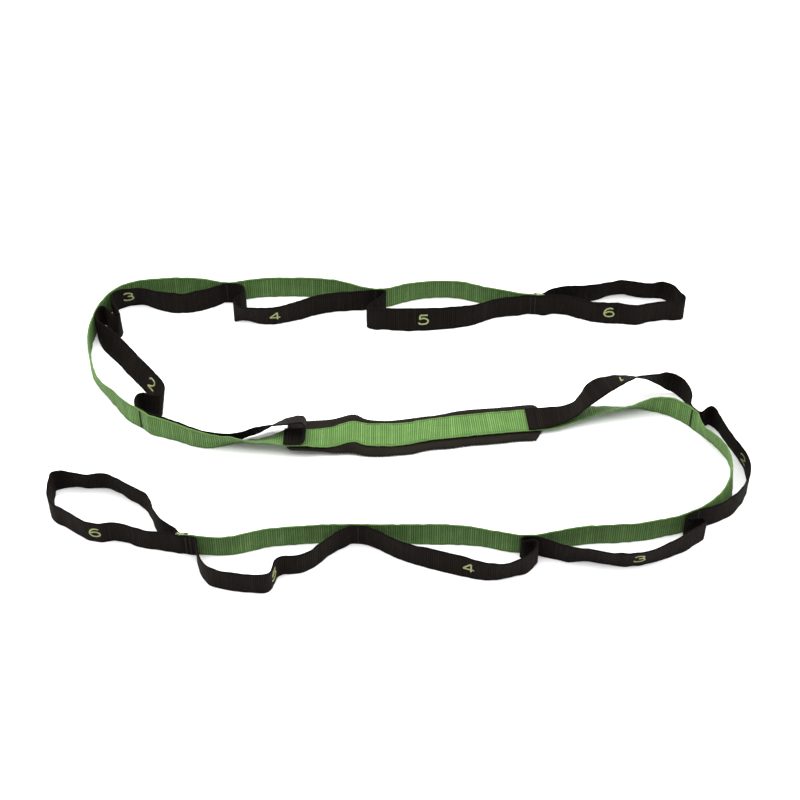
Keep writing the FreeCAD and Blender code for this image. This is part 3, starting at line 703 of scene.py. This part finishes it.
def woven(name, gap, rib, streak, edge, sheen, specular, tint):
    """Ribbed webbing: painted shade in the gaps between ribs, lighter ribs, uneven bright streaks,
    and a darker woven edge.
    """
    g = Graph(name)
    along, across = g.attribute("along"), g.attribute("across")
    crest = g.math("MULTIPLY_ADD", g.wave(along, RIB_PITCH), 0.5, 0.5)
    out = g.math("ABSOLUTE", across)
    # Every rib runs straight across and has its own lightness; a few are much lighter.
    rib_number = g.math("FLOOR", g.math("MULTIPLY_ADD", along, 1 / RIB_PITCH, 0.5))
    own, pale = g.random(rib_number), g.random(g.math("ADD", rib_number, 5000.0))
    warp = g.noise(g.vector(g.times(along, 0.22), g.times(across, 1.7), 7.0), 1.0, 2.0, 0.6)
    speck = g.noise(g.vector(along, across, 3.0), 2.6, 2.0, 0.6)
    wear = g.noise(g.vector(g.times(along, 0.05), g.times(across, 0.12), 11.0))
    on_edge = g.ramp(out, 10.9, 11.5)
    # A thin line of painted shade in the groove just inside each woven edge.
    groove_shade = g.times(g.ramp(out, 10.2, 10.9), g.ramp(out, 10.95, 11.5, 1.0, 0.0))
    # Away from each rib's crest the colour turns to the gap colour, which is painted shade between
    # the ribs.
    share = g.times(g.math("POWER", crest, 0.7), g.ramp(own, 0.0, 1.0, 0.74, 1.0))
    colour = g.mix(share, gap, rib)
    light = g.times(g.ramp(pale, 0.6, 1.0, 0.10, 0.48), g.ramp(speck, 0.35, 0.6, 0.5, 1.0))
    colour = g.mix(g.times(share, light), colour, streak)
    colour = g.mix(g.times(on_edge, 0.75), colour, edge)
    colour = g.mix(g.times(groove_shade, 0.6), colour, gap)
    shade = g.times(g.ramp(wear, 0.25, 0.75, 0.92, 1.08), g.ramp(warp, 0.3, 0.7, 0.88, 1.08))
    scale = g.tree.nodes.new("ShaderNodeVectorMath")
    scale.operation = "SCALE"
    g.join(colour, scale.inputs[0])
    g.join(shade, scale.inputs["Scale"])
    thread = g.wave(across, WARP_PITCH)
    height = g.math("ADD", g.times(thread, 0.22), g.times(crest, 0.5))
    height = g.math("ADD", height, g.times(speck, 0.6))
    return g.finish(scale.outputs[0], height, distance=0.00016, rough=0.82, sheen=sheen,
                    sheen_rough=0.45, specular=specular, tint=tint)


def thread_like(name, dark, light, pitch, direction, sheen, specular):
    """Satin or lock-stitch thread: fine parallel strands, lighter on top as painted highlight and
    darker between as painted shade, with a soft gloss.
    """
    g = Graph(name)
    where = g.tree.nodes.new("ShaderNodeTexCoord").outputs["Object"]
    wave = g.tree.nodes.new("ShaderNodeTexWave")
    wave.bands_direction = direction
    wave.inputs["Scale"].default_value = WAVE_SCALE / pitch
    wave.inputs["Distortion"].default_value = 1.5
    wave.inputs["Detail"].default_value = 2.0
    g.join(where, wave.inputs["Vector"])
    soft = g.noise(where, 900.0, 2.0, 0.5)
    # The bands between the dark and light colours are painted highlight on the strands and painted
    # shade between them.
    share = g.math("MULTIPLY_ADD", wave.outputs["Fac"], 0.55, g.times(soft, 0.45))
    return g.finish(g.mix(share, dark, light), wave.outputs["Fac"], distance=0.00006, rough=0.5,
                    sheen=sheen, sheen_rough=0.4, specular=specular, tint=light)


def padding(name, dark, light):
    """The pad's cover: a close knit over foam, with slight wear."""
    g = Graph(name)
    along, across = g.attribute("along"), g.attribute("across")
    fine = g.noise(g.vector(along, across), 1.9, 4.0, 0.65)
    broad = g.noise(g.vector(along, across, 5.0), 0.09, 2.0, 0.5)
    knit = g.times(g.wave(along, KNIT_PITCH[0]), g.wave(across, KNIT_PITCH[1]))
    share = g.times(g.ramp(fine, 0.35, 0.75, 0.2, 1.0), g.ramp(broad, 0.3, 0.7, 0.6, 1.0))
    height = g.math("ADD", g.times(knit, 0.35), fine)
    return g.finish(g.mix(share, dark, light), height, distance=0.0003, rough=0.9, sheen=0.05,
                    sheen_rough=0.5, specular=0.08, tint=light)


# Each webbing's gap colour is its rib colour darkened as painted shade between the ribs.
GREEN_WEB = woven(
    "green_webbing", gap=(0.024, 0.057, 0.012), rib=(0.096, 0.191, 0.050),
    streak=(0.190, 0.315, 0.110), edge=(0.075, 0.145, 0.038),
    sheen=0.08, specular=0.12, tint=(0.55, 0.7, 0.45))
BLACK_WEB = woven(
    "black_webbing", gap=(0.0013, 0.0009, 0.0007), rib=(0.0066, 0.0048, 0.0037),
    streak=(0.0150, 0.0115, 0.0092), edge=(0.0032, 0.0024, 0.0019),
    sheen=0.03, specular=0.04, tint=(0.30, 0.25, 0.20))
# The number thread is olive; its range from dark to pale is painted shade and painted sheen on the
# satin.
NUMBER_THREAD = thread_like(
    "number_thread", dark=(0.055, 0.068, 0.015), light=(0.36, 0.40, 0.17),
    pitch=0.45, direction="X", sheen=0.1, specular=0.3)
TACK_THREAD = thread_like(
    "tack_thread", dark=(0.003, 0.0025, 0.002), light=(0.012, 0.010, 0.008),
    pitch=0.4, direction="Z", sheen=0.03, specular=0.08)
PAD_THREAD = thread_like(
    "pad_thread", dark=(0.030, 0.065, 0.015), light=(0.09, 0.17, 0.045),
    pitch=0.6, direction="X", sheen=0.05, specular=0.15)
FRAY_THREAD = thread_like(
    "frayed_green", dark=(0.20, 0.26, 0.11), light=(0.50, 0.58, 0.33),
    pitch=0.5, direction="Z", sheen=0.1, specular=0.2)
PAD_COVER = padding("pad_cover", dark=(0.0040, 0.0030, 0.0022), light=(0.017, 0.0135, 0.0105))


# ----------------------------------------------------------------------
# Routes, cut at the tacks as in the CAD
def body_of_loop(key):
    """The body that a length of webbing belongs to; loop 1 is part of the grip."""
    return "grip" if key == "mid" or key[1] == "1" else "loop_" + key[:2]


def straight(start, direction, length):
    """A straight webbing that stands on edge."""
    steps = np.linspace(0, length, max(2, round(length / STEP) + 1))[:, None]
    up = np.tile([0.0, 0.0, 1.0], (len(steps), 1))
    return Path(start + direction * steps + np.array([0, 0, HALF_W]), up)


def green_paths():
    """The green webbing's lengths in order, from its left end to its right end."""
    out = {}
    for side in "lr":
        for n in range(2, 6):
            key = f"{side}{n}"
            stations = between(f"{side}{n - 1}{n}", GREEN[key], f"{side}{n}{n + 1}", 0.0)
            out[key] = smooth(stations, (True, True))
        p, h, _ = tack(f"{side}56")
        out[side + "6"] = straight(p, h, FREE_END)
    (pl, hl, _), (pr, hr, _) = tack("l12"), tack("r12")
    middle = [upright(pl - hl * g) for g in (0, ZONE)] + [station(s) for s in GREEN_MID]
    middle += [upright(pr - hr * g) for g in (ZONE, 0)]
    out["mid"] = smooth(middle, (True, True))
    order, start = ["l6", "l5", "l4", "l3", "l2", "mid", "r2", "r3", "r4", "r5", "r6"], 0.0
    paths = {}
    for key in order:
        path = out[key].back() if key[0] == "l" else out[key]
        paths[key] = path.starting(start)
        start += path.length
    return paths


def black_paths(side):
    """One black webbing's lengths in order, from its tab on the pad outward."""
    paths, start = {}, 0.0
    for n in range(1, 7):
        key = f"{side}{n}"
        if n == 1:
            stations = [station(s) for s in BLACK[key]] + between(None, [], side + "12", WEB_T)
            path = smooth(stations, (False, True))
        elif n == 6:
            stations = between(side + "56", BLACK[key], None, WEB_T)
            p, h, s = tack(side + "56")
            stations += [upright(p + h * g - s * WEB_T) for g in END_LAP]
            path = smooth(stations, (True, True))
        else:
            stations = between(f"{side}{n - 1}{n}", BLACK[key], f"{side}{n}{n + 1}", WEB_T)
            path = smooth(stations, (True, True))
        paths[key] = path.starting(start)
        start += path.length
    return paths


def green_web(name, path):
    return webbing(name, path, GREEN_WEB, "green_webbing", 31, GREEN_RIB)


def black_web(name, path, seed):
    return webbing(name, path, BLACK_WEB, "black_webbing", seed, BLACK_RIB)


def bend(obj):
    """The short strip across a tack, with its placement baked into its mesh; it is not attached to a
    body.
    """
    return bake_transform(obj)


def buckle(obj):
    """The pad and what is sewn on it rise in a ridge from the near edge to the far edge."""
    count = len(obj.data.vertices)
    co = np.empty(count * 3)
    obj.data.vertices.foreach_get("co", co)
    x, y, z = co.reshape(-1, 3).T / MM
    run_out = np.where(x < RIDGE_X, RIDGE_LEFT, RIDGE_RIGHT)
    rise = bell(x, RIDGE_X, run_out) * np.interp(y, RIDGE_Y, RIDGE)
    co.reshape(-1, 3)[:, 2] = (z + rise) * MM
    obj.data.vertices.foreach_set("co", co)


def laid(obj, body):
    """A length of webbing between two tacks: it rides its body and stands for its CAD node."""
    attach(obj, body)
    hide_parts("webbing_" + obj.name)


# The pad first, because the green webbing lies on it.
pad_path = smooth([station(s, PAD_W, PAD_T) for s in PAD])
pad = cushion("pad_cushion", pad_path, PAD_COVER, "pad_cover")
buckle(pad)
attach(pad, "grip")
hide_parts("pad")

floor_mesh = bpy.data.meshes.new("table")
floor_mesh.from_pydata([(x * FLOOR_HALF, y * FLOOR_HALF, FLOOR_Z)
                        for x, y in ((-1, -1), (1, -1), (1, 1), (-1, 1))], [], [(0, 1, 2, 3)])
floor = bpy.data.objects.new("table", floor_mesh)
bpy.context.scene.collection.objects.link(floor)

# Green webbing: the strips that bend at the tacks, the cut ends, and the lengths between tacks
GREEN_PATHS = green_paths()
GREEN_ORDER = list(GREEN_PATHS)
GREEN_TACKS = ["l56", "l45", "l34", "l23", "l12", "r12", "r23", "r34", "r45", "r56"]
bends = {}
for name, left, right in zip(GREEN_TACKS, GREEN_ORDER, GREEN_ORDER[1:]):
    a, b = GREEN_PATHS[left], GREEN_PATHS[right]
    strip = a.part(a.length - BEND_HALF, a.length).then(b.part(0, BEND_HALF))
    bends[name] = bend(green_web("green_bend_" + name, strip))
cut_ends = {}
for side, seed in (("l", 71), ("r", 72)):
    p, h, s = tack(side + "56")
    free = straight(p + h * BEND_HALF, h, FREE_END - BEND_HALF)
    free = free.starting(GREEN_PATHS[side + "6"].along[0])
    end = green_web("green_end_" + side, free)
    fray = frayed("green_fray_" + side, p + h * FREE_END, h, s, FRAY_THREAD, "green_webbing", seed)
    for obj in (end, fray):
        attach(obj, "loop_" + side + "6")
    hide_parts("webbing_green_end_" + side)
    cut_ends[side + "5"] = [end, fray]
for key, path in GREEN_PATHS.items():
    if key[1] == "6":
        continue
    main = path.part(BEND_HALF, path.length - BEND_HALF)
    obj = green_web("green_" + key, main)
    if key == "mid":
        buckle(obj)
    extra = [bends[t] for t in GREEN_TACKS if key[0] == t[0] and t[1] == key[1]]
    extra += cut_ends.get(key, [])
    laid(obj, body_of_loop(key))

# Black webbing and its numbers
for side, seed in (("l", 41), ("r", 47)):
    paths = black_paths(side)
    for n in range(1, 7):
        key, path = f"{side}{n}", paths[f"{side}{n}"]
        main = path.part(BEND_HALF if n > 1 else 0, path.length - (BEND_HALF if n < 6 else 0))
        obj = black_web("black_" + key, main, seed)
        extra = []
        if n < 6:
            after = paths[f"{side}{n + 1}"]
            strip = path.part(path.length - BEND_HALF, path.length).then(after.part(0, BEND_HALF))
            name = f"{side}{n}{n + 1}"
            extra = [bend(black_web("black_bend_" + name, strip, seed))]
        value, x, y, sign, rise = NUMBERS[key]
        number = digit("digit_" + key, value, path, x, y, sign, rise, NUMBER_THREAD,
                       "number_thread")
        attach(number, body_of_loop(key))
        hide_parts("number_" + key)
        laid(obj, body_of_loop(key))

# Stitched bars, one on each face.  The black webbing lies on one side of the green one, and the
# end loop's other end lies on its other side, so a face is half or one and a half layers out.
for name in TACKS:
    p, h, s = tack(name)
    bars = [(name, body_of_loop(name[:2]), p - h * TACK_IN, 0.5)]
    if name[1:] == "56":
        bars.append((name[0] + "6", "loop_" + name[0] + "6", p + h * TACK_IN, 1.5))
    for label, body, q, layers in bars:
        spans = bar_spans(q - s * (WEB_T * layers + CLEAR), h, -s)
        spans += bar_spans(q + s * (WEB_T * 1.5 + CLEAR), h, s)
        obj = stitches("sewn_bar_" + label, spans, BAR_THREAD, TACK_THREAD, "tack_thread")
        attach(obj, body)
        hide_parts("tack_" + label)

# The sewing on the pad: two rows along the green webbing, and one across each black tab.
mid = GREEN_PATHS["mid"]
on_pad = np.flatnonzero((mid.points[:, 0] > SEAM_X[0]) & (mid.points[:, 0] < SEAM_X[1]))
s_from, s_to = mid.along[on_pad[0]] - mid.along[0], mid.along[on_pad[-1]] - mid.along[0]
spans = []
for edge in (-EDGE_SEAM, EDGE_SEAM):
    starts = np.arange(s_from, s_to - STITCH, STITCH_PITCH)
    (pa, wa, na), (pb, wb, _) = sample(mid, starts), sample(mid, starts + STITCH)
    for k in range(len(starts)):
        up = na[k] * np.sign(na[k][2])
        over = up * (WEB_T / 2 + SEAM_CLEAR)
        spans.append((pa[k] + wa[k] * edge + over, pb[k] + wb[k] * edge + over, up))
seams = stitches("pad_seams", spans, SEAM_THREAD, PAD_THREAD, "pad_thread")
buckle(seams)
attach(seams, "grip")
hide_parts("pad_stitching")
for side in "lr":
    path = black_paths(side)[side + "1"]
    p, w, n = (v[0] for v in sample(path, np.array([TAB_SEAM_IN])))
    up = n * np.sign(n[2])
    over = up * (WEB_T / 2 + TAB_CLEAR)
    rows = [(p + w * a + over, p + w * (a + TAB_STITCH) + over, up)
            for a in np.arange(-EDGE_SEAM, EDGE_SEAM - TAB_STITCH, TAB_PITCH)]
    obj = stitches("tab_seam_" + side, rows, TAB_THREAD, TACK_THREAD, "tack_thread")
    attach(obj, "grip")


# ----------------------------------------------------------------------
# Table, light and camera
g = Graph("table_white")
tone = g.noise(g.tree.nodes.new("ShaderNodeTexCoord").outputs["Object"], 1.5, 2.0)
g.join(g.mix(tone, (0.86, 0.86, 0.86), (0.90, 0.90, 0.90)), g.shader.inputs["Base Color"])
g.shader.inputs["Roughness"].default_value = 0.9
g.shader.inputs["Specular IOR Level"].default_value = 0.1
floor.data.materials.append(g.material)

scene = bpy.context.scene
scene.view_settings.view_transform = "Standard"
scene.world = scene.world or bpy.data.worlds.new("studio")
scene.world.use_nodes = True
sky = scene.world.node_tree.nodes["Background"]
sky.inputs["Color"].default_value = (1.0, 1.0, 1.0, 1.0)
sky.inputs["Strength"].default_value = 0.56


def softbox(name, place, size, power):
    """A square light that faces the middle of the table."""
    light = bpy.data.lights.new(name, "AREA")
    light.shape, light.size, light.energy = "SQUARE", size, power
    obj = bpy.data.objects.new(name, light)
    scene.collection.objects.link(obj)
    obj.location = place
    obj.rotation_euler = (-Vector(place)).to_track_quat("-Z", "Y").to_euler()


softbox("overhead", place=(0.0, 0.15, 1.7), size=2.2, power=86)
softbox("left", place=(-1.7, 0.1, 0.8), size=1.3, power=24)
softbox("right", place=(1.7, 0.1, 0.8), size=1.3, power=23)

# The camera looks 50 degrees down at the strap.
camera = bpy.data.objects.new("camera", bpy.data.cameras.new("camera"))
scene.collection.objects.link(camera)
camera.location = (0.0, -1.1726, 1.4248)
camera.rotation_euler = (math.radians(40), 0, 0)
camera.data.sensor_width = 36
camera.data.lens = 94.5
camera.data.shift_y = 0.01875
scene.camera = camera
